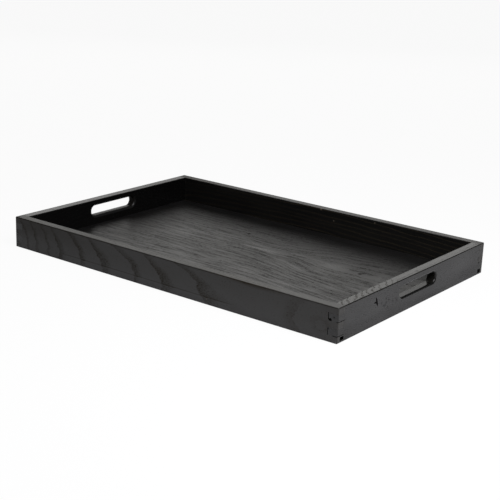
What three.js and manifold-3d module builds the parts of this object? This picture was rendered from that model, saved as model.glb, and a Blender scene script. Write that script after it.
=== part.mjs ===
// A serving tray of black-stained wood. Two long rails and two end boards meet in finger joints at the
// corners, and a thin bottom panel lies in a groove that runs round the inside of the frame. Each end
// board has a long hand slot with rounded edges. Millimetres, +Z up, with the origin on the table, under
// the middle of the tray: X runs along the rails and Y along the end boards.

import * as THREE from 'three';
import { mergeVertices } from 'three/addons/utils/BufferGeometryUtils.js';
import Module from 'manifold-3d';

const wasm = await Module();
wasm.setup();

// Outside of the frame.
const LENGTH = 600;
const WIDTH = 400;
const HEIGHT = 48;

// Boards of the frame.
const RAIL_THICKNESS = 15;
const END_THICKNESS = 15;

// Every edge of the glued-up frame is sanded round, and its four upright corners a little rounder.
const ARRIS_RADIUS = 1;
const CORNER_EXTRA_RADIUS = 0.5;
const CORNER_RADIUS = ARRIS_RADIUS + CORNER_EXTRA_RADIUS;
const ARRIS_STEPS = 3;

// Finger joints: the rails own the top finger and every second one below it, the end boards the others.
const FINGER_COUNT = 5;
const GLUE_LINE = 0.15;
const FINGER_PITCH = HEIGHT / FINGER_COUNT;

// Bottom panel, and the groove that holds it. The groove runs out through the ends of the rails.
const PANEL_THICKNESS = 4;
const PANEL_PLAY = 0.1;
const PANEL_SWELL_ROOM = 0.5;
const GROOVE_DEPTH = 7;
const GROOVE_LIP = 2.5;
const GROOVE_WIDTH = PANEL_THICKNESS + 2 * PANEL_PLAY;

// Hand slot through each end board, with round ends, and the bar of wood above it.
const SLOT_LENGTH = 100;
const SLOT_HEIGHT = 16;
const GRIP_HEIGHT = 10.5;
const SLOT_EDGE_RADIUS = 3;
const SLOT_EDGE_STEPS = 5;
const SLOT_END_STEPS = 12;

// How far a cutter runs past the wood that it cuts.
const OVERRUN = 5;

// Inside of the frame.
const INSIDE_LENGTH = LENGTH - 2 * END_THICKNESS;
const INSIDE_WIDTH = WIDTH - 2 * RAIL_THICKNESS;

const QUARTER_TURN = Math.PI / 2;
const HALF_TURN = Math.PI;

// A closed geometry as a solid that can be joined and cut.
function solidFrom(geometry) {
  geometry.deleteAttribute('normal');
  geometry.deleteAttribute('uv');
  const merged = mergeVertices(geometry);
  const mesh = new wasm.Mesh({
    numProp: 3,
    vertProperties: Float32Array.from(merged.attributes.position.array),
    triVerts: Uint32Array.from(merged.index.array),
  });
  return new wasm.Manifold(mesh);
}

// A solid back as a geometry for a mesh.
function geometryFrom(solid) {
  const { vertProperties, triVerts } = solid.getMesh();
  const geometry = new THREE.BufferGeometry();
  geometry.setAttribute('position', new THREE.BufferAttribute(vertProperties, 3));
  geometry.setIndex(new THREE.BufferAttribute(triVerts, 1));
  geometry.computeVertexNormals();
  return geometry;
}

// A rectangle about the origin.
function rectangle(length, width) {
  const shape = new THREE.Shape();
  shape.moveTo(-length / 2, -width / 2);
  shape.lineTo(length / 2, -width / 2);
  shape.lineTo(length / 2, width / 2);
  shape.lineTo(-length / 2, width / 2);
  return shape;
}

// A rectangle about the origin with round corners.
function roundedRectangle(length, width, radius) {
  const x = length / 2 - radius;
  const y = width / 2 - radius;
  const shape = new THREE.Shape();
  shape.absarc(x, -y, radius, -QUARTER_TURN, 0);
  shape.absarc(x, y, radius, 0, QUARTER_TURN);
  shape.absarc(-x, y, radius, QUARTER_TURN, HALF_TURN);
  shape.absarc(-x, -y, radius, HALF_TURN, HALF_TURN + QUARTER_TURN);
  return shape;
}

// A slot about the origin with full round ends.
function slotOutline(length, height) {
  const radius = height / 2;
  const x = length / 2 - radius;
  const shape = new THREE.Shape();
  shape.absarc(x, 0, radius, -QUARTER_TURN, QUARTER_TURN);
  shape.absarc(-x, 0, radius, QUARTER_TURN, HALF_TURN + QUARTER_TURN);
  return shape;
}

// Elevation of a board with its fingers. Between its own fingers each end steps back by the thickness of
// the board that it meets, and a finger is half a glue line thinner on each side than its pitch.
function fingerOutline(length, metThickness, ownsTopFinger) {
  const rightEnd = [];
  for (let level = 0; level < FINGER_COUNT; level += 1) {
    const levelsBelowTop = FINGER_COUNT - 1 - level;
    const owned = (levelsBelowTop % 2 === 0) === ownsTopFinger;
    const reach = owned ? length / 2 : length / 2 - metThickness - GLUE_LINE;
    const trim = owned ? GLUE_LINE / 2 : -GLUE_LINE / 2;
    const low = level === 0 ? 0 : level * FINGER_PITCH + trim;
    const high = levelsBelowTop === 0 ? HEIGHT : (level + 1) * FINGER_PITCH - trim;
    rightEnd.push(new THREE.Vector2(reach, low));
    rightEnd.push(new THREE.Vector2(reach, high));
  }
  const leftEnd = rightEnd.map((point) => new THREE.Vector2(-point.x, point.y)).reverse();
  return new THREE.Shape([...rightEnd, ...leftEnd]);
}

// Stands an elevation that was drawn flat upright, with its thickness running to -Y.
function stand(geometry) {
  geometry.rotateX(QUARTER_TURN);
  return geometry;
}

// Turns an upright elevation to face along the tray, with its thickness running to +X.
function turnToEnd(geometry) {
  geometry.rotateZ(QUARTER_TURN);
  return geometry;
}

// A hole through stock of the given thickness whose edges open out in a quarter round on both faces.
function flaredHole(outline, thickness, edgeRadius, edgeSteps, curveSegments = edgeSteps) {
  const geometry = new THREE.ExtrudeGeometry(outline, {
    depth: thickness - 2 * edgeRadius,
    bevelThickness: edgeRadius,
    bevelSize: -edgeRadius,
    bevelOffset: edgeRadius,
    bevelSegments: edgeSteps,
    curveSegments,
  });
  geometry.translate(0, 0, edgeRadius);
  return geometry;
}

// The glued-up and sanded frame as one body, without its joints: an outside block with round edges, less
// an inside that opens out at the rim and at the foot. Each board keeps its share of this body.
function sandedFrame() {
  const outside = new THREE.ExtrudeGeometry(roundedRectangle(LENGTH, WIDTH, CORNER_RADIUS), {
    depth: HEIGHT - 2 * ARRIS_RADIUS,
    bevelThickness: ARRIS_RADIUS,
    bevelSize: ARRIS_RADIUS,
    bevelOffset: -ARRIS_RADIUS,
    bevelSegments: ARRIS_STEPS,
    curveSegments: ARRIS_STEPS,
  });
  outside.translate(0, 0, ARRIS_RADIUS);
  const opening = rectangle(INSIDE_LENGTH, INSIDE_WIDTH);
  const inside = flaredHole(opening, HEIGHT, ARRIS_RADIUS, ARRIS_STEPS);
  return solidFrom(outside).subtract(solidFrom(inside));
}

// The groove in both rails, as one block of air as wide as the inside and both grooves, which runs out past
// the ends of the rails.
function railGroove() {
  const geometry = new THREE.BoxGeometry(LENGTH + 2 * OVERRUN, INSIDE_WIDTH + 2 * GROOVE_DEPTH, GROOVE_WIDTH);
  geometry.translate(0, 0, GROOVE_LIP + GROOVE_WIDTH / 2);
  return solidFrom(geometry);
}

// The groove in both end boards, in the same way. It stops against the rails' fingers.
function endGroove() {
  const geometry = new THREE.BoxGeometry(INSIDE_LENGTH + 2 * GROOVE_DEPTH, WIDTH + 2 * OVERRUN, GROOVE_WIDTH);
  geometry.translate(0, 0, GROOVE_LIP + GROOVE_WIDTH / 2);
  return solidFrom(geometry);
}

// The rail along the front of the tray.
function railSolid(frame) {
  const outline = fingerOutline(LENGTH, END_THICKNESS, true);
  const blank = stand(new THREE.ExtrudeGeometry(outline, { depth: RAIL_THICKNESS, bevelEnabled: false }));
  blank.translate(0, RAIL_THICKNESS - WIDTH / 2, 0);
  return solidFrom(blank).intersect(frame).subtract(railGroove());
}

// The end board at the right of the tray, with its hand slot.
function endSolid(frame) {
  const outline = fingerOutline(WIDTH, RAIL_THICKNESS, false);
  const flatBlank = new THREE.ExtrudeGeometry(outline, { depth: END_THICKNESS, bevelEnabled: false });
  const blank = turnToEnd(stand(flatBlank));
  blank.translate(LENGTH / 2 - END_THICKNESS, 0, 0);
  const slotMiddle = HEIGHT - GRIP_HEIGHT - SLOT_HEIGHT / 2;
  const slotShape = slotOutline(SLOT_LENGTH, SLOT_HEIGHT);
  const flatSlot = flaredHole(slotShape, END_THICKNESS, SLOT_EDGE_RADIUS, SLOT_EDGE_STEPS, SLOT_END_STEPS);
  const slot = turnToEnd(stand(flatSlot));
  slot.translate(LENGTH / 2 - END_THICKNESS, 0, slotMiddle);
  return solidFrom(blank).intersect(frame).subtract(endGroove()).subtract(solidFrom(slot));
}

// The bottom panel, which reaches into all four grooves and leaves room there to swell.
function panelGeometry() {
  const reach = GROOVE_DEPTH - PANEL_SWELL_ROOM;
  const outline = rectangle(INSIDE_LENGTH + 2 * reach, INSIDE_WIDTH + 2 * reach);
  const geometry = new THREE.ExtrudeGeometry(outline, { depth: PANEL_THICKNESS, bevelEnabled: false });
  geometry.translate(0, 0, GROOVE_LIP + PANEL_PLAY);
  return geometry;
}

// Stained boards have a satin finish, and the veneered panel is a shade lighter.
function stainedBoard() {
  return new THREE.MeshStandardMaterial({ color: 0x201f1e, roughness: 0.45, metalness: 0 });
}

function stainedVeneer() {
  return new THREE.MeshStandardMaterial({ color: 0x262523, roughness: 0.4, metalness: 0 });
}

// Adds a named piece to the tray, turned about the tray's middle.
function addPiece(group, name, geometry, material, turn) {
  const mesh = new THREE.Mesh(geometry, material);
  mesh.name = name;
  mesh.rotation.z = turn;
  group.add(mesh);
}

const frame = sandedFrame();
const railShape = geometryFrom(railSolid(frame));
const endShape = geometryFrom(endSolid(frame));

const tray = new THREE.Group();
tray.name = 'serving_tray';
addPiece(tray, 'front_rail', railShape, stainedBoard(), 0);
addPiece(tray, 'back_rail', railShape.clone(), stainedBoard(), HALF_TURN);
addPiece(tray, 'right_end', endShape, stainedBoard(), 0);
addPiece(tray, 'left_end', endShape.clone(), stainedBoard(), HALF_TURN);
addPiece(tray, 'bottom_panel', panelGeometry(), stainedVeneer(), 0);

export default tray;
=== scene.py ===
# %% [markdown]
# # A black-stained serving tray
#
# This lesson dresses a finished tray model in Blender. The tray is a glued wooden box: two long rails and
# two end boards meet in finger joints, a thin veneered panel lies in a groove inside them, and each end
# board has a hand slot. The frame file holds every board, and the boards made here keep its outside
# sizes. What Blender adds is what makes this tray one of its kind: edges rounded as in the photograph,
# slots where it shows them, open joints, a knot, and wood whose growth rings run through the whole board,
# so that faces, edges and end grain agree with each other.

# %% Load the frame
import math

import bmesh
import bpy
from mathutils import Matrix, Vector, noise
from mathutils.bvhtree import BVHTree


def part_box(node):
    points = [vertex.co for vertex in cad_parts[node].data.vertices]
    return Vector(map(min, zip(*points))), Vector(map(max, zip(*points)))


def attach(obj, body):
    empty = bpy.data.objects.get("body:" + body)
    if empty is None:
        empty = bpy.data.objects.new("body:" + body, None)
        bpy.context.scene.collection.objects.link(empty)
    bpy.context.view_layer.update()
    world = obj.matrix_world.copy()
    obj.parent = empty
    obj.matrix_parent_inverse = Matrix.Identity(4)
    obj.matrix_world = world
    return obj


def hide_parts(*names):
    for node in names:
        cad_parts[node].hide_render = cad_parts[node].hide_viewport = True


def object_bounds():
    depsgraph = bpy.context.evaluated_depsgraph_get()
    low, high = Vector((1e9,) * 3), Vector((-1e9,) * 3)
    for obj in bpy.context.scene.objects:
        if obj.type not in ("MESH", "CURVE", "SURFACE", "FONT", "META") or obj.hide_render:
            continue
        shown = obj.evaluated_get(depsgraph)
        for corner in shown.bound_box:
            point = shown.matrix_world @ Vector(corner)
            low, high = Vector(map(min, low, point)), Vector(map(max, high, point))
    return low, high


MM = 0.001

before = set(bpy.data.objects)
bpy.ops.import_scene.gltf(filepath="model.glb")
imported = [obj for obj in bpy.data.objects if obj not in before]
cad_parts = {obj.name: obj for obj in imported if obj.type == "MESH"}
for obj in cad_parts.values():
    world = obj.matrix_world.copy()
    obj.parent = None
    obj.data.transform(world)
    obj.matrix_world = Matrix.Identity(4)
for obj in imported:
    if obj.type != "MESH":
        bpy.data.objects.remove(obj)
cad_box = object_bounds()
print("boards in the frame:", sorted(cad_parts))

# %% [markdown]
# ## Camera
#
# The camera stands to the right of the front rail and looks a little down on the tray. Its direction, its
# distance and its lens were solved from the corners of the tray in the photograph, so the same corners
# land on the same pixels. Placing it by eye would give a like picture, but a solved camera lets the two
# be compared pixel by pixel. The picture is square and needs no shift, only a slight roll.

# %% Camera
AZIMUTH = math.radians(37.0155)
ELEVATION = math.radians(17.1429)
ROLL = 0.0391
DISTANCE = 1760.96 * MM
AIM_RIGHT = 6.093 * MM
AIM_UP = 14.064 * MM
FOCAL_PIXELS = 1139.99
PICTURE_PIXELS = 500
SENSOR_MM = 36

towards_camera = Vector((
    math.sin(AZIMUTH) * math.cos(ELEVATION),
    -math.cos(AZIMUTH) * math.cos(ELEVATION),
    math.sin(ELEVATION),
))
level_right = Vector((math.cos(AZIMUTH), math.sin(AZIMUTH), 0))
level_up = towards_camera.cross(level_right)
camera_right = level_right * math.cos(ROLL) + level_up * math.sin(ROLL)
camera_up = level_up * math.cos(ROLL) - level_right * math.sin(ROLL)

camera_data = bpy.data.cameras.new("camera")
camera_data.sensor_width = SENSOR_MM
camera_data.lens = FOCAL_PIXELS * SENSOR_MM / PICTURE_PIXELS
camera = bpy.data.objects.new("camera", camera_data)
bpy.context.scene.collection.objects.link(camera)
turn = Matrix((camera_right, camera_up, towards_camera)).transposed()
aim = camera_right * AIM_RIGHT + camera_up * AIM_UP
camera.matrix_world = Matrix.Translation(aim + towards_camera * DISTANCE) @ turn.to_4x4()
bpy.context.scene.camera = camera
print("camera at", tuple(round(c, 3) for c in camera.location), "lens", round(camera_data.lens, 1))

# %% [markdown]
# ## Shader arithmetic
#
# A wood shader is mostly sums, so it reads best as sums. Its nodes could be made and linked one by one,
# but then the sums are lost among the links. So `Wire` holds one output socket and turns Python operators
# into Math nodes, and `Graph.node` makes every other kind of node: first its settings, then the values or
# wires of its sockets. Numbers that never change are worked out in Python and set directly.

# %% Wires that can be added and multiplied
class Wire:
    """One output socket of a node tree."""

    def __init__(self, graph, socket):
        self.graph = graph
        self.socket = socket

    def _math(self, operation, *values):
        return self.graph.node("ShaderNodeMath", {"operation": operation}, dict(enumerate(values)))

    def __add__(self, other):
        return self._math("ADD", self, other)

    def __radd__(self, other):
        return self._math("ADD", other, self)

    def __sub__(self, other):
        return self._math("SUBTRACT", self, other)

    def __rsub__(self, other):
        return self._math("SUBTRACT", other, self)

    def __mul__(self, other):
        return self._math("MULTIPLY", self, other)

    def __rmul__(self, other):
        return self._math("MULTIPLY", other, self)

    def __truediv__(self, other):
        return self._math("DIVIDE", self, other)

    def __neg__(self):
        return -1 * self

    def __abs__(self):
        return self._math("ABSOLUTE", self)

    def exp(self):
        return self._math("EXPONENT", self)

    def squared(self):
        return self * self

    def fraction(self):
        return self._math("FRACT", self)

    def larger(self, other):
        return self._math("MAXIMUM", self, other)

    def smaller(self, other):
        return self._math("MINIMUM", self, other)

    def _step(self, low, high, start, end):
        sockets = {"Value": self, "From Min": low, "From Max": high, "To Min": start, "To Max": end}
        return self.graph.node("ShaderNodeMapRange", {"interpolation_type": "SMOOTHSTEP"}, sockets)

    def rise(self, low, high, to=1.0):
        """A smooth step up from 0 below low to a level above high."""
        return self._step(low, high, 0.0, to)

    def fall(self, low, high, start=1.0):
        """A smooth step down from a level below low to 0 above high."""
        return self._step(low, high, start, 0.0)

    def ramp(self, *stops):
        """A curve through (place, grey) stops."""
        return self.graph.node("ShaderNodeValToRGB", {"stops": stops}, {"Fac": self})


# %% A graph that makes the other nodes
# A Mix node has sockets for numbers and vectors too. These are the places of its colours.
FIRST_COLOUR = 6
SECOND_COLOUR = 7
MIXED_COLOUR = 2


class Graph:
    """A node tree, with one method that makes any node in it."""

    def __init__(self, tree):
        self.tree = tree
        tree.nodes.clear()

    def node(self, kind, settings, sockets, output=0):
        made = self.tree.nodes.new(kind)
        for name, value in settings.items():
            if name == "stops":
                self._set_stops(made.color_ramp, value)
            else:
                setattr(made, name, value)
        for name, value in sockets.items():
            if isinstance(value, Wire):
                self.tree.links.new(value.socket, made.inputs[name])
            else:
                made.inputs[name].default_value = value
        return Wire(self, made.outputs[output]) if made.outputs else None

    def _set_stops(self, color_ramp, stops):
        while len(color_ramp.elements) < len(stops):
            color_ramp.elements.new(1)
        for element, (place, grey) in zip(color_ramp.elements, stops):
            element.position = place
            element.color = (grey, grey, grey, 1)

    def split(self, vector):
        """The three parts of a vector."""
        first = self.node("ShaderNodeSeparateXYZ", {}, {"Vector": vector})
        return [Wire(self, socket) for socket in first.socket.node.outputs]

    def vector(self, x, y, z):
        return self.node("ShaderNodeCombineXYZ", {}, {"X": x, "Y": y, "Z": z})

    def noise(self, x, y, z, detail=2.0):
        """Smooth noise from 0 to 1 with about one bump per unit of x, y and z."""
        sockets = {"Vector": self.vector(x, y, z), "Scale": 1.0, "Detail": detail}
        return self.node("ShaderNodeTexNoise", {}, sockets)

    def mix_colour(self, share, first, second):
        sockets = {"Factor": share, FIRST_COLOUR: first, SECOND_COLOUR: second}
        return self.node("ShaderNodeMix", {"data_type": "RGBA"}, sockets, output=MIXED_COLOUR)


def new_material(name):
    material = bpy.data.materials.new(name)
    material.use_nodes = True
    return material, Graph(material.node_tree)


print("shader arithmetic ready")

# %% [markdown]
# ## Studio
#
# Black wood is seen by what it reflects. A picture of a studio could light it, but lamps can be moved one
# by one until each face has its own light. A white table brightens the outer faces from below. A wide
# white screen behind the tray, on its left, shows in the rim and skims over the bottom panel, a smaller
# and brighter lamp on a boom above it softens the shadow of the walls, and a softbox over the front right
# corner lights the table. The rest of the room is dim, which leaves the inner walls nearly black. The
# camera sees the table and the room as white, with a faint shadow of the tray. Mirrored and transmitted
# rays see some of that white too, but the larger share is the table as the lamps light it, so the lacquer
# shows their light and shade.

# %% White table
TABLE_SIZE = 40.0
TABLE_DROP = 0.2 * MM
TABLE_WHITE = (0.82, 0.82, 0.82, 1)
WHITE = (1, 1, 1, 1)
TABLE_GLOW_SHARE = 0.94
TABLE_MIRROR_SHARE = 0.2

half_table = TABLE_SIZE / 2
table_corners = [
    (-half_table, -half_table, -TABLE_DROP),
    (half_table, -half_table, -TABLE_DROP),
    (half_table, half_table, -TABLE_DROP),
    (-half_table, half_table, -TABLE_DROP),
]
table_mesh = bpy.data.meshes.new("table")
table_mesh.from_pydata(table_corners, [], [(0, 1, 2, 3)])
table = bpy.data.objects.new("table", table_mesh)
bpy.context.scene.collection.objects.link(table)


def background_share(graph, seen_share, mirrored_share):
    """How much of the white a ray gets: its share is larger for camera rays than for mirrored ones."""
    kinds = ("Is Camera Ray", "Is Glossy Ray", "Is Transmission Ray")
    seen, glossy, transmitted = [graph.node("ShaderNodeLightPath", {}, {}, output=kind) for kind in kinds]
    return seen * seen_share + glossy.larger(transmitted) * mirrored_share


table_material, graph = new_material("white_table")
glow_share = background_share(graph, TABLE_GLOW_SHARE, TABLE_MIRROR_SHARE)
paint = graph.node("ShaderNodeBsdfDiffuse", {}, {"Color": TABLE_WHITE})
glow = graph.node("ShaderNodeEmission", {}, {"Color": WHITE, "Strength": 1.0})
table_look = graph.node("ShaderNodeMixShader", {}, {0: glow_share, 1: paint, 2: glow})
graph.node("ShaderNodeOutputMaterial", {}, {"Surface": table_look})
table_mesh.materials.append(table_material)
print("table", TABLE_SIZE, "m wide")


# %% Lamps
def area_lamp(name, bearing, elevation, distance, width, height, level, colour):
    """A flat lamp of a given brightness that faces the tray from a bearing, counted from +X towards +Y."""
    data = bpy.data.lights.new(name, "AREA")
    data.shape = "RECTANGLE"
    data.size = width
    data.size_y = height
    data.energy = level * math.pi * width * height
    data.color = colour
    lamp = bpy.data.objects.new(name, data)
    bpy.context.scene.collection.objects.link(lamp)
    bearing = math.radians(bearing)
    elevation = math.radians(elevation)
    way = Vector((
        math.cos(bearing) * math.cos(elevation),
        math.sin(bearing) * math.cos(elevation),
        math.sin(elevation),
    ))
    lamp.location = way * distance
    lamp.rotation_euler = way.to_track_quat("Z", "Y").to_euler()
    print(name, round(data.energy, 1), "W at", tuple(round(c, 2) for c in lamp.location))


WARM = (1.0, 0.99, 0.965)
COOL = (0.972, 0.968, 1.0)
area_lamp("screen", bearing=126, elevation=23, distance=2.6, width=3.1, height=1.2, level=0.87, colour=WARM)
area_lamp("boom", bearing=133, elevation=41, distance=2.4, width=1.1, height=0.8, level=1.5, colour=WARM)
area_lamp("softbox", bearing=-24, elevation=50, distance=1.2, width=0.9, height=0.9, level=7.2, colour=COOL)

# %% Dim room
ROOM_LEVEL = 0.06
ROOM_MIRROR_SHARE = 0.02

world = bpy.data.worlds.new("room")
bpy.context.scene.world = world
world.use_nodes = True
graph = Graph(world.node_tree)
room_level = ROOM_LEVEL + background_share(graph, 1 - ROOM_LEVEL, ROOM_MIRROR_SHARE)
room = graph.node("ShaderNodeBackground", {}, {"Color": WHITE, "Strength": room_level})
graph.node("ShaderNodeOutputWorld", {}, {"Surface": room})
bpy.context.scene.view_settings.view_transform = "Standard"
print("room level", ROOM_LEVEL)

# %% [markdown]
# ## Mesh helpers
#
# A woodworker cuts boards from outlines, so the helpers do the same. Editing operators could extrude and
# bevel them, but they depend on what is selected, and a cut from outlines doesn't. `loft` closes a stack
# of rings into a solid, `prism` is a loft of two equal rings, and `carve` cuts one solid with another by
# Blender's Boolean modifier and keeps the result.

# %% Solids from outlines
def new_piece(name, mesh):
    piece = bpy.data.objects.new(name, mesh)
    bpy.context.scene.collection.objects.link(piece)
    return piece


def loft(name, rings):
    """A closed solid through rings with the same number of points."""
    bm = bmesh.new()
    layers = [[bm.verts.new(point) for point in ring] for ring in rings]
    for lower, upper in zip(layers, layers[1:]):
        for i in range(len(lower)):
            j = (i + 1) % len(lower)
            bm.faces.new((lower[i], lower[j], upper[j], upper[i]))
    bm.faces.new(reversed(layers[0]))
    bm.faces.new(layers[-1])
    bmesh.ops.recalc_face_normals(bm, faces=bm.faces)
    mesh = bpy.data.meshes.new(name)
    bm.to_mesh(mesh)
    bm.free()
    return new_piece(name, mesh)


def prism(name, outline, low, high, place):
    """An outline of (a, b) points, run from low to high along c. place turns a, b, c into x, y, z."""
    return loft(name, [[place(a, b, c) for a, b in outline] for c in (low, high)])


def rail_elevation(a, b, c):
    """a along X, b up, c through the rail."""
    return Vector((a, c, b))


def end_elevation(a, b, c):
    """a along Y, b up, c through the end board."""
    return Vector((c, a, b))


def plan(a, b, c):
    """a along X, b along Y, c up."""
    return Vector((a, b, c))


# %% Cutting and joining
def carve(piece, tool, operation="DIFFERENCE"):
    """Cuts the piece with the tool, or keeps what they share, and throws the tool away."""
    modifier = piece.modifiers.new("carve", "BOOLEAN")
    modifier.operation = operation
    modifier.solver = "MANIFOLD"
    modifier.object = tool
    depsgraph = bpy.context.evaluated_depsgraph_get()
    carved = bpy.data.meshes.new_from_object(piece.evaluated_get(depsgraph))
    piece.modifiers.clear()
    uncarved = piece.data
    piece.data = carved
    bpy.data.meshes.remove(uncarved)
    bpy.data.objects.remove(tool)


def copy_of(piece, name):
    return new_piece(name, piece.data.copy())


# %% Outlines
ARC_STEPS = 16
QUARTER_TURN = math.pi / 2


def arc(centre_a, centre_b, radius, start, end, steps=ARC_STEPS):
    """Points of an arc, with its angles in quarter turns."""
    angles = [QUARTER_TURN * (start + (end - start) * i / steps) for i in range(steps + 1)]
    return [(centre_a + radius * math.cos(angle), centre_b + radius * math.sin(angle)) for angle in angles]


def rectangle(half_a, half_b):
    return [(half_a, -half_b), (half_a, half_b), (-half_a, half_b), (-half_a, -half_b)]


def rounded_rectangle(half_a, half_b, radius, steps):
    a = half_a - radius
    b = half_b - radius
    corners = ((a, -b, -1), (a, b, 0), (-a, b, 1), (-a, -b, 2))
    return [point for x, y, turn in corners for point in arc(x, y, radius, turn, turn + 1, steps)]


def stadium(length, height):
    """A slot outline with full round ends, about the origin."""
    radius = height / 2
    a = length / 2 - radius
    return arc(a, 0, radius, -1, 1) + arc(-a, 0, radius, 1, 3)


def quarter_round(radius, steps):
    """(inset, drop) along a quarter round, from the flat face's edge to the full outline."""
    turns = [QUARTER_TURN * i / steps for i in range(steps + 1)]
    return [(radius * (1 - math.sin(turn)), radius * (1 - math.cos(turn))) for turn in turns]


print("mesh helpers ready")

# %% [markdown]
# ## The sanded frame
#
# After gluing up, the whole frame is sanded as one body: all its edges turn round, also across the
# joints. A Bevel modifier on each board would leave a notch at every joint. So the lesson first makes
# that body, an outside block with round edges less an inside that opens out at the rim and at the foot.
# Each board is then cut from it, and its edges line up with those of its neighbours. The rim, which hands
# touch, is rounder than the foot.

# %% One sanded body
RIM_ARRIS = 1.4 * MM
FOOT_ARRIS = 0.4 * MM
CORNER = 1.5 * MM
ARRIS_STEPS = 6

cad_low, cad_high = cad_box
LENGTH = cad_high.x - cad_low.x
WIDTH = cad_high.y - cad_low.y
HEIGHT = cad_high.z - cad_low.z
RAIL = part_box("front_rail")[1].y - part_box("front_rail")[0].y
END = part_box("right_end")[1].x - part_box("right_end")[0].x
INSIDE_LENGTH = LENGTH - 2 * END
INSIDE_WIDTH = WIDTH - 2 * RAIL


def sanded_frame():
    foot = quarter_round(FOOT_ARRIS, ARRIS_STEPS)
    rim = quarter_round(RIM_ARRIS, ARRIS_STEPS)
    stations = foot + [(inset, HEIGHT - drop) for inset, drop in reversed(rim)]
    outside_rings = []
    inside_rings = []
    for inset, height in stations:
        outside = rounded_rectangle(LENGTH / 2 - inset, WIDTH / 2 - inset, CORNER - inset, ARRIS_STEPS)
        inside = rectangle(INSIDE_LENGTH / 2 + inset, INSIDE_WIDTH / 2 + inset)
        outside_rings.append([plan(a, b, height) for a, b in outside])
        inside_rings.append([plan(a, b, height) for a, b in inside])
    body = loft("sanded_frame", outside_rings)
    carve(body, loft("inside", inside_rings))
    return body


frame_body = sanded_frame()
print("sanded frame:", len(frame_body.data.polygons), "faces")

# %% [markdown]
# ## Boards with fingers
#
# Each corner has five fingers. The rails own the top one and every second one below, and the end boards
# own the other two. The long sides of the fingers close up and vanish under the stain, and the sockets
# are cut a little too deep, which leaves a dark hairline at the bottom of each. A groove for the panel
# runs through the whole length of the rails, so it shows as a small opening at the foot of each corner.
# Lines in the material could stand for the joints in one picture, but real fingers hold from every side.

# %% Finger outlines
FINGERS = 5
FINGER = HEIGHT / FINGERS
SIDE_GAP = 0.06 * MM
SOCKET_GAP = 0.15 * MM


def finger_outline(length, met_thickness, owns_top):
    """Elevation of a board whose ends step back by the board they meet, between its own fingers."""
    right = []
    for level in range(FINGERS):
        owned = ((FINGERS - 1 - level) % 2 == 0) == owns_top
        reach = length / 2 if owned else length / 2 - met_thickness - SOCKET_GAP
        trim = SIDE_GAP / 2 if owned else -SIDE_GAP / 2
        low = level * FINGER + trim if level > 0 else 0
        high = (level + 1) * FINGER - trim if level < FINGERS - 1 else HEIGHT
        right += [(reach, low), (reach, high)]
    return right + [(-a, b) for a, b in reversed(right)]


print("a finger is", round(FINGER / MM, 2), "mm high")

# %% Rails
GROOVE_DEPTH = 7 * MM
GROOVE_PLAY = 0.1 * MM
OVERRUN = 5 * MM
panel_low, panel_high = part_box("bottom_panel")
GROOVE_LOW = panel_low.z - GROOVE_PLAY
GROOVE_HIGH = panel_high.z + GROOVE_PLAY


def make_rail(name, node):
    low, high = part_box(node)
    outline = finger_outline(LENGTH, END, owns_top=True)
    rail = prism(name, outline, low.y, high.y, rail_elevation)
    carve(rail, copy_of(frame_body, "share"), "INTERSECT")
    groove = rectangle(LENGTH / 2 + OVERRUN, INSIDE_WIDTH / 2 + GROOVE_DEPTH)
    carve(rail, prism("groove", groove, GROOVE_LOW, GROOVE_HIGH, plan))
    print(name, len(rail.data.polygons), "faces")
    return rail


front_rail = make_rail("front_rail_board", "front_rail")
back_rail = make_rail("back_rail_board", "back_rail")

# %% [markdown]
# ## Hand slots
#
# A router cuts a hand slot along a template, and a second bit rounds its edges over on both faces. A
# Bevel modifier stumbles over the many short edges that such a cut leaves, so the cutter brings the
# rounds along: it is a loft of slot outlines that opens out by a quarter round towards each face. Both
# slots sit a little behind the middle of their boards. The left one has rounder edges, which let more
# light onto the panel.

# %% End boards
SLOT_LENGTH = 100 * MM
SLOT_HEIGHT = 16.2 * MM
RIGHT_SLOT_EDGE = 3 * MM
LEFT_SLOT_EDGE = 4.8 * MM
SLOT_SHIFT = 2.1 * MM
SLOT_EDGE_STEPS = 10
SLOT_MIDDLE = 29.5 * MM


def slot_cutter(low, high, edge):
    """The hand slot, with both its edges opening out in a quarter round."""
    easing = quarter_round(edge, SLOT_EDGE_STEPS)
    stations = [(flare, low + drop) for flare, drop in easing]
    stations += [(flare, high - drop) for flare, drop in reversed(easing)]
    rings = []
    for flare, c in stations:
        outline = stadium(SLOT_LENGTH + 2 * flare, SLOT_HEIGHT + 2 * flare)
        rings.append([end_elevation(a + SLOT_SHIFT, b + SLOT_MIDDLE, c) for a, b in outline])
    return loft("slot", rings)


def make_end(name, node, slot_edge):
    low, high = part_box(node)
    outline = finger_outline(WIDTH, RAIL, owns_top=False)
    end = prism(name, outline, low.x, high.x, end_elevation)
    carve(end, copy_of(frame_body, "share"), "INTERSECT")
    groove = rectangle(INSIDE_LENGTH / 2 + GROOVE_DEPTH, WIDTH / 2 + OVERRUN)
    carve(end, prism("groove", groove, GROOVE_LOW, GROOVE_HIGH, plan))
    carve(end, slot_cutter(low.x, high.x, slot_edge))
    print(name, len(end.data.polygons), "faces")
    return end


right_end = make_end("right_end_board", "right_end", RIGHT_SLOT_EDGE)
left_end = make_end("left_end_board", "left_end", LEFT_SLOT_EDGE)
bpy.data.objects.remove(frame_body)

# %% [markdown]
# ## A knot, chips and open lines
#
# Where the glue did not close a joint, the line stays open on one face. A thin block of air cuts it, and
# two larger ones widen the ends of the groove at the right, where wood broke out. The knot and the
# chipped corners are cut with lumps: balls stretched to size and pushed in and out by noise. All these
# cuts show torn wood without lacquer, so the skin of each tool is kept, to find their faces by later. A
# bump could hint at them, but real cuts cast their own small shadows.

# %% Lumps and blocks of air
LUMP_DETAIL = 3
LUMP_SWELL = 0.35
LUMP_NOISE = 1.6


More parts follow.
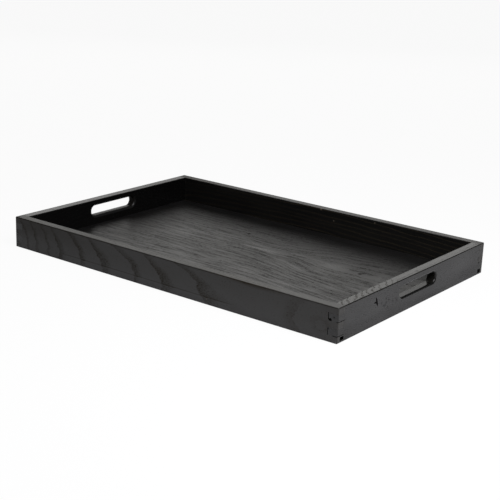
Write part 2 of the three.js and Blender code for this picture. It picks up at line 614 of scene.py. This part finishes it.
def lump(middle, reach, lean=0, seed=0):
    """A rough ball with its middle and reach in millimetres, leaning by degrees about X."""
    bm = bmesh.new()
    bmesh.ops.create_icosphere(bm, subdivisions=LUMP_DETAIL, radius=1)
    tilt = Matrix.Rotation(math.radians(lean), 3, "X")
    for vert in bm.verts:
        swell = 1 + LUMP_SWELL * noise.noise(vert.co * LUMP_NOISE + Vector((seed, 0, 0)))
        stretched = Vector(c * r * swell for c, r in zip(vert.co, reach))
        vert.co = (tilt @ stretched + Vector(middle)) * MM
    mesh = bpy.data.meshes.new("lump")
    bm.to_mesh(mesh)
    bm.free()
    return new_piece("lump", mesh)


def air_block(low, high):
    """A block of air between two corners, in millimetres."""
    outline = [(high[0], low[1]), (high[0], high[1]), (low[0], high[1]), (low[0], low[1])]
    outline = [(a * MM, b * MM) for a, b in outline]
    return prism("air_block", outline, low[2] * MM, high[2] * MM, plan)


print("a lump has the detail of", LUMP_DETAIL, "subdivisions")


# %% Tear wood away
torn_skins = []


def tear(piece, tool):
    """Carves a piece and remembers the tool's skin, so that the torn faces can be found later."""
    points = [vert.co.copy() for vert in tool.data.vertices]
    faces = [tuple(face.vertices) for face in tool.data.polygons]
    torn_skins.append(BVHTree.FromPolygons(points, faces))
    carve(piece, tool)


# %% Marks of the right end
KNOT = dict(middle=(300.0, -107.6, 32.4), reach=(3.4, 1.7, 6.8), lean=19, seed=1)
KNOT_BRANCH = dict(middle=(300.0, -112.2, 32.6), reach=(1.0, 2.8, 1.2), seed=2)
CORNER_CHIP = dict(middle=(287.9, -200.0, 30.4), reach=(2.7, 2.4, 1.9), seed=3)
SOCKET_CHIP = dict(middle=(286.0, -200.0, 17.8), reach=(0.9, 1.0, 1.0), seed=5)
for mark in (KNOT, KNOT_BRANCH, CORNER_CHIP, SOCKET_CHIP):
    tear(right_end, lump(**mark))

UPPER_LINE = ((297.5, -201.0, 28.3), (301.0, -183.4, 29.2))
LOWER_LINE = ((292.5, -201.0, 9.0), (301.0, -185.4, 9.9))
UPPER_ROOT = ((284.9, -201.0, 30.0), (286.0, -197.0, 39.6))
LOWER_ROOT = ((284.9, -201.0, 9.4), (285.9, -197.0, 18.4))
for low, high in (UPPER_LINE, LOWER_LINE, UPPER_ROOT, LOWER_ROOT):
    for board in (right_end, front_rail):
        tear(board, air_block(low, high))
FRONT_HOLE = ((288.0, -193.2, 2.3), (301.0, -184.9, 7.6))
BACK_HOLE = ((288.0, 184.9, 2.3), (301.0, 193.8, 8.2))
tear(front_rail, air_block(*FRONT_HOLE))
tear(back_rail, air_block(*BACK_HOLE))
print("right end with its marks:", len(right_end.data.polygons), "faces")

# %% [markdown]
# ## Bottom panel
#
# The panel is a thin sheet of plywood with a veneered face. Only its top and underside show, and a plane
# would do for those, but it is made as a whole sheet with edges that reach into the grooves, as on the
# real tray.

# %% Panel
panel_outline = rectangle((panel_high.x - panel_low.x) / 2, (panel_high.y - panel_low.y) / 2)
panel = prism("bottom_panel_sheet", panel_outline, panel_low.z, panel_high.z, plan)
print("panel", [round(size / MM, 1) for size in panel.dimensions])

# %% [markdown]
# ## Smooth rounds and flat faces
#
# A Boolean leaves every face flat shaded. The rounds should look round and the board faces flat. A
# Subdivision Surface modifier would round them too, but it would soften the fingers and the open lines as
# well. So edges under a limit angle are smoothed, and a Weighted Normal modifier lets the large faces
# keep their own normal.

# %% Shading
SMOOTH_LIMIT = math.radians(32)
MERGE_DISTANCE = 1e-7


def shade(piece):
    bm = bmesh.new()
    bm.from_mesh(piece.data)
    bmesh.ops.remove_doubles(bm, verts=bm.verts, dist=MERGE_DISTANCE)
    loose = sum(1 for edge in bm.edges if not edge.is_manifold)
    bm.to_mesh(piece.data)
    bm.free()
    piece.data.shade_smooth()
    piece.data.set_sharp_from_angle(angle=SMOOTH_LIMIT)
    weighted = piece.modifiers.new("flat_faces", "WEIGHTED_NORMAL")
    weighted.keep_sharp = True
    print(piece.name, "open edges:", loose)


for piece in (front_rail, back_rail, right_end, left_end, panel):
    shade(piece)

# %% [markdown]
# ## Hand over to the frame
#
# Each new board stands for the solid of the same name in the frame, which is hidden, and rides on the
# frame's root. The frame's own solids could stay and only get a new finish, but they are the plain
# boards of any such tray, without the knot, the chips and the open lines of this one.

# %% Ride on the frame
PIECES = {
    "front_rail": (front_rail, "stained_board"),
    "back_rail": (back_rail, "stained_board"),
    "right_end": (right_end, "stained_board"),
    "left_end": (left_end, "stained_board"),
    "bottom_panel": (panel, "stained_veneer"),
}
for node, (piece, slot) in PIECES.items():
    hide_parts(node)
    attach(piece, "root")
print("pieces:", [piece.name for piece, slot in PIECES.values()])

# %% [markdown]
# ## Stained wood
#
# The boards are a ring-porous hardwood stained black under a thin satin lacquer. Two things make the
# figure: the stain is a little darker in the bands of large pores, and the open pores break the lacquer,
# so that light which the smooth wood mirrors is lost in them. So the shader is two finishes, lacquered
# wood and open pore, mixed by a mask of pores. A picture of wood laid on each face would break at every
# edge, so everything is worked out in space, in millimetres on the board itself.

# %% Noise along the grain
NOISE_MIDDLE = 0.5


def swing(field):
    """A noise from 0 to 1 as an offset to both sides of 0."""
    return field - NOISE_MIDDLE


def ridge(offset, width, level=1.0):
    """A soft line, as high as the level where the offset is 0."""
    return (-(offset / width).squared()).exp() * level


def spot(a, b, length, width, level=1.0):
    """A soft oval spot, as high as the level where the offsets a and b are both 0."""
    return (-((a / length).squared() + (b / width).squared())).exp() * level


class Grain:
    """The coordinates of one board, in millimetres, and noise that is stretched along its grain."""

    def __init__(self, graph, way, seed):
        self.graph = graph
        self.seed = seed
        place = graph.node("ShaderNodeTexCoord", {}, {}, output="Object")
        self.x, self.y, self.z = [metres / MM for metres in graph.split(place)]
        order = {
            "rail": (self.x, self.z, self.y),
            "end": (self.y, self.z, self.x),
            "sheet": (self.x, self.y, self.z),
        }
        self.along, self.across, self.through = order[way]

    def streaks(self, length, width, shift=0.0, detail=2.0):
        """Noise from 0 to 1 in streaks of about this length and width."""
        along = self.along / length + (self.seed + shift)
        return self.graph.noise(along, self.across / width, self.through / width, detail)

    def wander(self, length, width, shift, reach):
        """The same noise as an offset to both sides, reach wide in all."""
        return swing(self.streaks(length, width, shift)) * reach

    def spot(self, along, across, length, width, level=1.0):
        """A soft oval spot at a place on the board's face."""
        return spot(self.along - along, self.across - across, length, width, level)


# %% [markdown]
# ### Figure of the front rail
#
# The front rail was sawn flat through the log, so its rings cross the face as steep arches. Years differ,
# so the arches are not evenly spaced. A Wave texture would space them evenly, so their places along the
# middle of the board are listed, and a colour ramp turns a place into a count of rings. One year is
# frayed where the saw tore it, and a small knot near the right corner draws the rings round itself.

# %% Rings of the front rail
RING_PLACES = (
    (-300, 0), (-276, 1), (-257, 2), (-231, 3), (-209, 4), (-163, 5), (-121, 6), (-55, 7), (-4, 8),
    (73, 9), (90, 9.22), (106, 9.36), (125, 9.42), (167, 9.46), (214, 9.44), (300, 9.4),
)
MOST_RINGS = 10.0
BOARD_END = 300.0
FRONT_FACE = -200.0
RING_DEPTH = 5.0
FRAY = 9.0
TORN_FRAY = 14.0
ARCH_FOOT = 8.0
ARCH_SPREAD = 2100.0
ARCH_START = 0.12
SWIRL_X, SWIRL_Z = 274.0, 21.0
EYE_X, EYE_Z = 272.0, 16.6


def front_rings(wood):
    """The count of rings in the front rail, which goes up by 1 from year to year."""
    torn_year = wood.spot(along=85.0, across=18.0, length=30.0, width=30.0, level=TORN_FRAY)
    bend = wood.wander(length=38.0, width=11.0, shift=5.0, reach=16.0)
    x = wood.x + bend + wood.wander(length=4.0, width=1.6, shift=9.0, reach=torn_year + FRAY)
    span = 2 * BOARD_END
    stops = [((place + BOARD_END) / span, count / MOST_RINGS) for place, count in RING_PLACES]
    count = ((x + BOARD_END) / span).ramp(*stops) * MOST_RINGS
    arch = (wood.z - ARCH_FOOT).squared() / ARCH_SPREAD - ARCH_START
    arch = arch * wood.x.fall(low=150.0, high=230.0)
    swirl = spot(x - SWIRL_X, wood.z - SWIRL_Z, length=39.6, width=25.063, level=1.30)
    eye = spot(x - EYE_X, wood.z - EYE_Z, length=11.0, width=11.0, level=0.276)
    spike = wood.spot(along=80.0, across=18.0, length=16.0, width=8.0, level=0.16)
    return count + arch - swirl - eye + spike + (wood.y - FRONT_FACE) / RING_DEPTH


print("front rail:", len(RING_PLACES), "ring places")

# %% [markdown]
# ### Marks of the front rail
#
# The planer left a fine line along the foot, and a year that ran out at the rim shows as a dull brow.
# The face is duller towards its top and more so at its left, which is painted shade. The rings fade
# towards the right. One nick went through the stain to bare wood. The cut ends of the fingers drank
# more lacquer and are duller too. Such marks could be painted on the mesh by hand, but a soft step or
# spot at a measured place is easy to move and stays sharp from near.

# %% Marks of the front rail
RIM = dict(low=46.8, high=47.6)
FRONT_SKIN = dict(low=-199.6, high=-198.8)
END_SKIN = dict(low=299.6, high=299.95)
PLANER_LINE = 10.6
TOP_SHADE_DULLNESS = 0.10
RIM_DULLNESS = 0.09
RIM_HOLLOW = -120.0
RING_STRENGTH = 0.75


def end_grain(wood):
    return abs(wood.x).rise(**END_SKIN, to=0.22)


def front_rail_figure(wood):
    front = wood.y.fall(**FRONT_SKIN)
    planed = wood.x.rise(low=-200.0, high=-188.0) * wood.x.fall(low=118.0, high=134.0)
    planer_line = ridge(wood.z - PLANER_LINE, width=0.5657, level=0.5)
    planer = (planer_line + wood.z.fall(low=9.0, high=10.4, start=-0.2)) * planed
    corner = wood.x.rise(low=255.0, high=290.0, to=0.10)
    # Painted shade: the face is duller towards its top, more so at its left.
    top_shade_at_left = wood.x.fall(low=-270.0, high=-90.0, start=0.30)
    upper = wood.z.rise(low=4.0, high=40.0) * (top_shade_at_left + TOP_SHADE_DULLNESS)
    brow = wood.spot(along=168.0, across=46.4, length=38.0, width=2.8, level=0.55)
    hollow = ridge(wood.x - RIM_HOLLOW, width=40.0, level=0.10)
    rim = wood.z.rise(**RIM) * (hollow + RIM_DULLNESS - wood.x.rise(low=190.0, high=220.0, to=0.08))
    marks = planer + (corner + upper + brow) * front + rim + end_grain(wood)
    strength = wood.x.rise(low=-240.0, high=-170.0, to=0.25) + RING_STRENGTH
    strength = strength - wood.x.rise(low=195.0, high=235.0, to=0.45)
    strength = strength - wood.x.rise(low=245.0, high=262.0, to=0.2)
    strength = strength - wood.z.rise(low=26.0, high=46.0, to=0.3)
    nick = wood.spot(along=87.0, across=7.8, length=0.9, width=0.9, level=0.4) * front
    return dict(rings=front_rings(wood), strength=strength, marks=marks, pale_spots=nick)


print("front rail: planer line at", PLANER_LINE, "mm")


# %% [markdown]
# ### Figure of the back rail
#
# The back rail is seen from the inside. It shows long low arches in almost black wood, and three pale
# specks. Its inside is darker towards the left, which is painted shade. Its arches could be listed as
# those of the front rail are, but nothing in them stands out, so one formula gives its rings: a parabola
# along the rail that is counted in years.

# %% Rings of the back rail
SPECKS = ((11.0, 46.9, 1.3), (37.0, 32.0, 0.9), (115.0, 44.0, 0.8))
BACK_INSIDE = 185.0
BACK_ARCH = -50.0
BACK_ARCH_SPREAD = 7500.0
BACK_YEAR = 7.7
BACK_RING_DEPTH = 6.0


def back_rail_figure(wood):
    arch = (wood.z + (wood.x - BACK_ARCH).squared() / BACK_ARCH_SPREAD) / BACK_YEAR
    bend = wood.wander(length=120.0, width=20.0, shift=5.0, reach=1.6)
    rings = arch + (wood.y - BACK_INSIDE) / BACK_RING_DEPTH + bend
    inside = wood.y.fall(low=186.0, high=188.0)
    # Three pale specks on the inside.
    pale_spots = sum(wood.spot(x, z, radius, radius) for x, z, radius in SPECKS) * inside
    # Painted shade: the inside grows darker towards the left.
    painted_shade = wood.x.fall(low=-220.0, high=60.0, start=0.45) * inside
    rim = wood.z.rise(**RIM) * wood.x.fall(low=-260.0, high=-120.0, start=0.32)
    return dict(rings=rings, pale_spots=pale_spots, marks=rim + end_grain(wood), painted_shade=painted_shade)


print("back rail:", len(SPECKS), "specks")

# %% [markdown]
# ### Finish in the hand slots
#
# The slots were routed and sanded, so the wood in them is smoother than the faces. Their round ends cut
# across the grain, which drinks the lacquer and stays dull, and the sill and the ceiling are a little
# duller than the faces too. A second material could be given to these faces, but it would end in a hard
# line. Masks that follow the slot's middle line fade out as the rounded edge does.

# %% Routed wood
SLOT_Y = SLOT_SHIFT / MM
SLOT_Z = SLOT_MIDDLE / MM
SLOT_STRAIGHT = (SLOT_LENGTH - SLOT_HEIGHT) / 2 / MM
EASED_START = 0.85


def eased(wood, edge):
    """1 on what the router shaped, which ends where the rounded edge runs out into the face."""
    reach = (SLOT_HEIGHT / 2 + edge) / MM
    beyond = (abs(wood.y - SLOT_Y) - SLOT_STRAIGHT).larger(0.0)
    off_line = beyond.squared() + (wood.z - SLOT_Z).squared()
    return off_line.fall(low=EASED_START * reach * reach, high=reach * reach)


def routed(wood, face):
    """Dullness in the hand slot: a little on its sill and ceiling, more on its two round ends."""
    inward = wood.x - face
    away = abs(wood.y - SLOT_Y)
    sill = inward.rise(low=1.5, high=3.5, to=0.28) * inward.fall(low=11.5, high=13.5)
    across = inward.rise(low=0.2, high=0.8, to=0.6) * inward.fall(low=14.2, high=14.8)
    ends = across * away.rise(low=40.0, high=44.0)
    low_and_high = wood.z.rise(low=14.0, high=16.0) * wood.z.fall(low=42.5, high=43.5)
    return (sill + ends) * low_and_high * away.fall(low=56.0, high=60.0)


print("middle line of a slot:", round(2 * SLOT_STRAIGHT, 1), "mm long at height", SLOT_Z)

# %% [markdown]
# ### Figure of the end boards
#
# In the right end the rings lie nearly flat, so its face looks plain, but they come up through the rim
# near the front corner as slanting strokes. Small bruises in the stain trail from the knot to the slot,
# and the face is duller towards the foot, which is painted shade. Strokes drawn on the rim alone would
# end at its edge, so the rings are a tilted plane that dips near the front and runs through face and
# rim alike. The left end is only seen inside, where it is almost black. Below the rim, the faces of both
# are darker, which is painted shade.

# %% Rings of the right end
BRUISES = (
    (-95, 27.7), (-89.5, 23), (-86, 21.7), (-84, 31.3), (-83.3, 25.6), (-78.8, 17.9), (-76.3, 27.7),
    (-66, 23.6), (-58.3, 24.9), (-55, 21.7), (185.3, 26.2), (185.7, 24.6), (187, 21.2), (187.2, 19.8),
)
BRUISE_RADIUS = 2.0
BRUISE_DULLNESS = 0.30
RIGHT_INSIDE = 285.0
DIP_START = -50.0
DIP_SLOPE = 0.173
RIGHT_TILT = 0.23
RIGHT_YEAR = 2.6
FACE_STRENGTH = 0.5
STROKE_SHARE = 1.6
STROKE_LEAST = 0.8
FOOT_SHADE_SHARE = 0.2
FOOT_SHADE_LEAST = 0.06
SMUDGE_X, SMUDGE_Z = 294.0, 34.5
FINGER_DULLNESS = 0.12
RIGHT_WORN = 0.27
RIM_SHINE = 0.06


def right_end_figure(wood):
    dip = (wood.y - DIP_START).smaller(0.0) * DIP_SLOPE
    bend = wood.wander(length=30.0, width=8.0, shift=5.0, reach=1.8)
    fray = wood.wander(length=4.0, width=1.6, shift=9.0, reach=0.5)
    rings = (wood.z + dip + (wood.x - BOARD_END) * RIGHT_TILT) / RIGHT_YEAR + bend + fray
    outside = wood.x.rise(**END_SKIN)
    rim = wood.z.rise(**RIM)
    bruise_level = wood.y.rise(low=100.0, high=150.0, to=0.4) + BRUISE_DULLNESS
    bruises = sum(wood.spot(y, z, BRUISE_RADIUS, BRUISE_RADIUS) for y, z in BRUISES) * bruise_level
    # Painted shade: the face is duller, and so darker, towards the foot.
    foot_shade_streaks = wood.streaks(length=50.0, width=9.0, shift=11.0) * FOOT_SHADE_SHARE + FOOT_SHADE_LEAST
    foot = wood.z.fall(low=4.0, high=28.0) * foot_shade_streaks
    smudge = spot(wood.x - SMUDGE_X, wood.z - SMUDGE_Z, length=1.5, width=1.5, level=0.6)
    fingers = wood.y.fall(**FRONT_SKIN) * (smudge + FINGER_DULLNESS)
    worn = (1 - rim) * RIGHT_WORN
    marks = (bruises + foot + worn) * outside + fingers - rim * RIM_SHINE + routed(wood, RIGHT_INSIDE)
    strokes = wood.streaks(length=22.0, width=30.0, shift=13.0) * STROKE_SHARE + STROKE_LEAST
    strength = rim * strokes * (1 - wood.y.rise(low=-90.0, high=-10.0, to=0.7)) + FACE_STRENGTH
    smooth = eased(wood, RIGHT_SLOT_EDGE)
    # Painted shade: the face below the rim is darker.
    return dict(rings=rings, strength=strength, marks=marks, painted_shade=1 - rim, smooth=smooth)


print("right end:", len(BRUISES), "bruises")

# %% Rings of the left end
LEFT_INSIDE = -285.0
LEFT_ARCH = 40.0
LEFT_ARCH_SPREAD = 1500.0
LEFT_YEAR = 7.0
LEFT_RING_DEPTH = 9.0
LEFT_STRENGTH = 0.6
EASED_ROUGHNESS = 0.12


def left_end_figure(wood):
    arch = (wood.z + (wood.y - LEFT_ARCH).squared() / LEFT_ARCH_SPREAD) / LEFT_YEAR
    bend = wood.wander(length=60.0, width=14.0, shift=5.0, reach=1.6)
    rings = arch + (wood.x - LEFT_INSIDE) / LEFT_RING_DEPTH + bend
    rim = wood.z.rise(**RIM)
    marks = routed(wood, -BOARD_END) + rim * wood.y.rise(low=0.0, high=30.0, to=0.10)
    smooth = eased(wood, LEFT_SLOT_EDGE)
    rough = smooth * EASED_ROUGHNESS
    # Painted shade: the face below the rim is darker.
    return dict(
        rings=rings, strength=LEFT_STRENGTH, marks=marks, painted_shade=1 - rim, rough=rough, smooth=smooth,
    )


print("left end: years of", LEFT_YEAR, "mm")


# %% [markdown]
# ### Figure of the panel
#
# The rings of the veneer run straight along its left half and fan out to the right, where the knife came
# level with them. A few pale streaks and a pale lens shine more than the rest, some dark streaks less,
# and two pin holes are left in it. Noise stretched along the sheet would run straight through the fan, so
# the bars between the rings are noise that follows the count of rings, and both fan out together.

# %% Rings of the veneer
PIN_HOLES = ((-68.5, 95.8), (179.0, 44.6))
PIN_RADIUS = 2.3
PALE_STREAKS = (
    (-27, 59, 42, 2.6, 0.55), (-8, 41, 38, 3.0, 0.5), (-108, 70, 24, 2.6, 0.45), (-140, 48, 22, 3.4, 0.3),
    (100, 53, 36, 4.5, 0.5),
)
DARK_STREAKS = (
    (-126, -58, 32, 2.0), (-10, -79, 38, 2.2), (-180, -79, 30, 1.8), (-19, 78, 16, 4.0), (52, 40, 24, 1.6),
    (48, 31, 28, 1.6), (190, -60, 14, 5.0),
)
SWAY_LENGTH = 90.0
SWAY_WIDTH = 45.0
SWAY_SHIFT_X, SWAY_SHIFT_Y = 3.1, 1.7
SWAY_REACH = 8.0
FAN_MIDDLE = 50.0
FAN_START = 45.0
FAN_SLOPE = 0.3
VENEER_YEAR = 2.6
PALE_GLOSS = 0.2


def panel_figure(wood):
    sway_x = wood.x / SWAY_LENGTH + SWAY_SHIFT_X
    sway_y = wood.y / SWAY_WIDTH + SWAY_SHIFT_Y
    sway = wood.graph.noise(sway_x, sway_y, 0.0)
    offset = wood.y - FAN_MIDDLE + swing(sway) * SWAY_REACH
    fan = wood.x.rise(low=-10.0, high=130.0, to=0.90) * ridge(offset, wood.x * FAN_SLOPE + FAN_START)
    fray = wood.wander(length=9.0, width=1.6, shift=9.0, reach=0.7)
    rings = offset * (1 - fan) / VENEER_YEAR + fray
    bent_y = wood.y + wood.wander(length=60.0, width=20.0, shift=15.0, reach=6.0)
    pale = sum(spot(wood.x - x, bent_y - y, *shape) for x, y, *shape in PALE_STREAKS)
    dark = sum(spot(wood.x - x, bent_y - y, *shape, level=0.4) for x, y, *shape in DARK_STREAKS)
    pin_holes = sum(wood.spot(x, y, PIN_RADIUS, PIN_RADIUS, level=2.0) for x, y in PIN_HOLES)
    worn = wood.spot(along=0.0, across=-5.0, length=150.0, width=55.0, level=0.16)
    return dict(rings=rings, marks=dark - pale + pin_holes + worn, rough=pale * -PALE_GLOSS)


print("veneer:", len(PALE_STREAKS), "pale and", len(DARK_STREAKS), "dark streaks")

# %% [markdown]
# ### The finish
#
# From the count of rings comes the porous band. A Wave texture could make it, but only with the profile
# of a sine, a triangle or a saw. A colour ramp gives it its own profile, crisp where a year begins and
# fading through it. Fibres, bars and blotches are noise at three sizes. Pores open where their noise
# passes a limit, which lies lower in the bands. The stain is thinner on the hard wood, darker where a
# figure paints shade, and pale in a few spots, such as a nick to bare wood. The gloss varies with the
# bars, and pores are sunk by a bump, except where the wood is smooth.

# %% Stains and grain sizes
STAIN_DEEP = (0.0042, 0.0040, 0.0039, 1)
STAIN_THIN = (0.0105, 0.0100, 0.0094, 1)
PORE_STAIN = (0.0150, 0.0118, 0.0075, 1)
PALE_SPOT_COLOUR = (0.16, 0.13, 0.10, 1)
# The next two colours are painted shade, on the wood and in its pores.
PAINTED_SHADE_STAIN = (0.0015, 0.0014, 0.0014, 1)
PAINTED_SHADE_PORE = (0.0032, 0.0026, 0.0018, 1)
CHANGED_PLACES = (("painted_shade", PAINTED_SHADE_STAIN, PAINTED_SHADE_PORE), ("pale_spots", PALE_SPOT_COLOUR, PALE_SPOT_COLOUR))
LACQUER_IOR = 1.5
PORE_ROUGHNESS = 0.8
PORE_SPECULAR = 0.12
RELIEF_DEPTH = 0.1 * MM

FIBRES = dict(length=26.0, width=0.9, shift=2.0, detail=3.0)
BARS = dict(length=42.0, width=2.6, shift=4.0)
BLOTCHES = dict(length=80.0, width=30.0, shift=6.0)
PORES = dict(shift=7.0, detail=1.0)
PORE_LIMIT = dict(low=0.66, high=0.73)
BAND_PROFILE = ((0.0, 0.0), (0.06, 1.0), (0.55, 0.7), (1.0, 0.0))
RING_BAR_LENGTH = 55.0
RING_BAR_DEPTH = 3.0
RING_BAR_DETAIL = 3.0

BOARD = dict(
    depth=1.0, wear=0.1, roughness=0.33, relief=0.2,
    band_share=0.34, band_pores=0.17, band_dullness=0.20,
    bars_per_ring=0.0, bar_pores=0.08, bar_roughness=0.08,
    pore_depth=1.0, pore_dullness=0.5, pore_length=4.0, pore_width=0.8,
)
BLOTCH_DULLNESS = 0.3
STAIN_SHARES = dict(blotches=0.7, fibres=0.5, band=-0.4)
STAIN_LEVEL = -0.1
FIBRE_ROUGHNESS = 0.10
PORE_EDGE_ROUGHNESS = 0.08
RELIEF_SHARES = dict(fibres=0.35, bars=0.25, pores=-0.8, band=-0.2)
print("look of a plain board:", BOARD)


# %% Grain of one board
def scaled(colour, factor):
    return tuple(c * factor for c in colour[:3]) + (1,)


def grain_fields(wood, look, parts):
    """The masks that the finish is mixed from, each from 0 to 1."""
    rings = parts["rings"]
    band = (rings.fraction() / look["band_share"]).ramp(*BAND_PROFILE) * parts["strength"]
    bars = wood.streaks(**BARS)
    if look["bars_per_ring"]:
        along = wood.along / RING_BAR_LENGTH + wood.seed
        across = rings * look["bars_per_ring"]
        bars = wood.graph.noise(along, across, wood.through / RING_BAR_DEPTH, RING_BAR_DETAIL)
    pore_field = wood.streaks(look["pore_length"], look["pore_width"], **PORES)
    crowding = band * look["band_pores"] + swing(bars) * look["bar_pores"]
    pores = (pore_field + crowding).rise(**PORE_LIMIT)
    fibres = wood.streaks(**FIBRES)
    return dict(band=band, bars=bars, pores=pores, fibres=fibres, blotches=wood.streaks(**BLOTCHES))


def shares_of(fields, shares):
    """A sum of fields, each with its own share."""
    return sum(fields[name] * share for name, share in shares.items())


def stains(graph, fields, look, parts):
    """The colours of the lacquered wood and of the open pores."""
    thinness = shares_of(fields, STAIN_SHARES) + STAIN_LEVEL
    stain = graph.mix_colour(thinness, scaled(STAIN_DEEP, look["depth"]), scaled(STAIN_THIN, look["depth"]))
    pore_stain = scaled(PORE_STAIN, look["pore_depth"])
    # Painted shade darkens the stain where a figure asks for it, and pale spots take its place where a
    # figure puts them.
    for mask, board_colour, pore_colour in CHANGED_PLACES:
        if parts[mask]:
            stain = graph.mix_colour(parts[mask], stain, board_colour)
            pore_stain = graph.mix_colour(parts[mask], pore_stain, pore_colour)
    return stain, pore_stain


# %% Two finishes mixed by pores
def stained_wood(name, figure, way, seed, **changes):
    look = dict(BOARD, **changes)
    material, graph = new_material(name)
    wood = Grain(graph, way, seed)
    parts = dict(strength=1.0, rough=0.0, pale_spots=None, painted_shade=None, smooth=0.0)
    parts.update(figure(wood))
    fields = grain_fields(wood, look, parts)
    stain, pore_stain = stains(graph, fields, look, parts)
    dullness = fields["pores"] * look["pore_dullness"] + fields["band"] * look["band_dullness"]
    dullness = dullness + swing(fields["blotches"]) * BLOTCH_DULLNESS + parts["marks"] + look["wear"]
    roughness = swing(fields["bars"]) * look["bar_roughness"] + swing(fields["fibres"]) * FIBRE_ROUGHNESS
    roughness = roughness + fields["pores"] * PORE_EDGE_ROUGHNESS + parts["rough"] + look["roughness"]
    height = shares_of(fields, RELIEF_SHARES) * (1 - parts["smooth"])
    relief_sockets = {"Strength": look["relief"], "Distance": RELIEF_DEPTH, "Height": height}
    relief = graph.node("ShaderNodeBump", {}, relief_sockets)
    lacquer_sockets = {"Base Color": stain, "Roughness": roughness, "IOR": LACQUER_IOR, "Normal": relief}
    lacquered = graph.node("ShaderNodeBsdfPrincipled", {}, lacquer_sockets)
    pore_sockets = {
        "Base Color": pore_stain,
        "Roughness": PORE_ROUGHNESS,
        "Specular IOR Level": PORE_SPECULAR,
    }
    open_pore = graph.node("ShaderNodeBsdfPrincipled", {}, pore_sockets)
    surface = graph.node("ShaderNodeMixShader", {}, {0: dullness, 1: lacquered, 2: open_pore})
    graph.node("ShaderNodeOutputMaterial", {}, {"Surface": surface})
    print(name, "has", len(graph.tree.nodes), "nodes")
    return material


# %% [markdown]
# ### Torn wood
#
# Where wood broke out, its fibres stand open, drank the stain and never got lacquer. The boards' own
# finish could be kept there, but its gloss would make the breaks look polished. A plain dark finish with
# fine splinters is enough for such small places.

# %% Torn wood
TORN_DARK = (0.0012, 0.0011, 0.0010, 1)
TORN_LIGHT = (0.0040, 0.0035, 0.0030, 1)
SPLINTERS = dict(length=3.0, width=0.4, detail=3.0)
TORN_SEED = 7.0
TORN_RELIEF = 0.6
TORN_SPECULAR = 0.1
TORN_LEAST_ROUGHNESS = 0.7
TORN_ROUGHNESS_SPAN = 0.3


def torn_wood():
    """Broken fibres full of stain, without lacquer."""
    material, graph = new_material("torn_wood")
    splinters = Grain(graph, "end", TORN_SEED).streaks(**SPLINTERS)
    colour = graph.mix_colour(splinters, TORN_DARK, TORN_LIGHT)
    relief_sockets = {"Strength": TORN_RELIEF, "Distance": RELIEF_DEPTH, "Height": splinters}
    surface_sockets = {
        "Base Color": colour,
        "Roughness": splinters * TORN_ROUGHNESS_SPAN + TORN_LEAST_ROUGHNESS,
        "Specular IOR Level": TORN_SPECULAR,
        "Normal": graph.node("ShaderNodeBump", {}, relief_sockets),
    }
    surface = graph.node("ShaderNodeBsdfPrincipled", {}, surface_sockets)
    graph.node("ShaderNodeOutputMaterial", {}, {"Surface": surface})
    print("torn wood has", len(graph.tree.nodes), "nodes")
    return material


# %% [markdown]
# ### Dress the pieces
#
# All five pieces share one finish. What differs is the figure, the way the grain runs, the seed of the
# noise and how deep the stain and how even the gloss are. Torn faces could be picked by their numbers,
# but those change with every cut, so they are found by their distance from the skins of the tools that
# tore them.

# %% Dress the pieces
FINISHES = {
    "front_rail": dict(figure=front_rail_figure, way="rail", seed=1.0, band_dullness=0.34, wear=0.08),
    "back_rail": dict(
        figure=back_rail_figure, way="rail", seed=21.0, band_dullness=0.75, depth=0.7, pore_depth=1.4,
        band_share=0.22, wear=0.03,
    ),
    "right_end": dict(
        figure=right_end_figure, way="end", seed=41.0, roughness=0.22, band_pores=0.10, wear=0.0, depth=0.9,
        pore_depth=0.8,
    ),
    "left_end": dict(
        figure=left_end_figure, way="end", seed=61.0, roughness=0.22, wear=0.0, depth=0.9,
        pore_depth=0.8,
    ),
    "bottom_panel": dict(
        figure=panel_figure, way="sheet", seed=84.4, roughness=0.42, bar_roughness=0.58, bar_pores=0.7,
        pore_dullness=0.65, relief=0.35, bars_per_ring=0.5, depth=0.6, pore_depth=0.3, wear=0.0,
        pore_length=6.5, pore_width=1.3,
    ),
}
torn = torn_wood()
TORN_SLOT = 1
ON_SKIN = 5e-6


def is_torn(face):
    """Whether the middle of a face lies on the skin of a tool that tore wood away."""
    for skin in torn_skins:
        *_, distance = skin.find_nearest(face.center)
        if distance < ON_SKIN:
            return True
    return False


for node, finish in FINISHES.items():
    piece = PIECES[node][0]
    piece.data.materials.clear()
    piece.data.materials.append(stained_wood(node + "_wood", **finish))
    piece.data.materials.append(torn)
    torn_faces = [face for face in piece.data.polygons if is_torn(face)]
    for face in torn_faces:
        face.material_index = TORN_SLOT
    print(piece.name, "torn faces:", len(torn_faces))
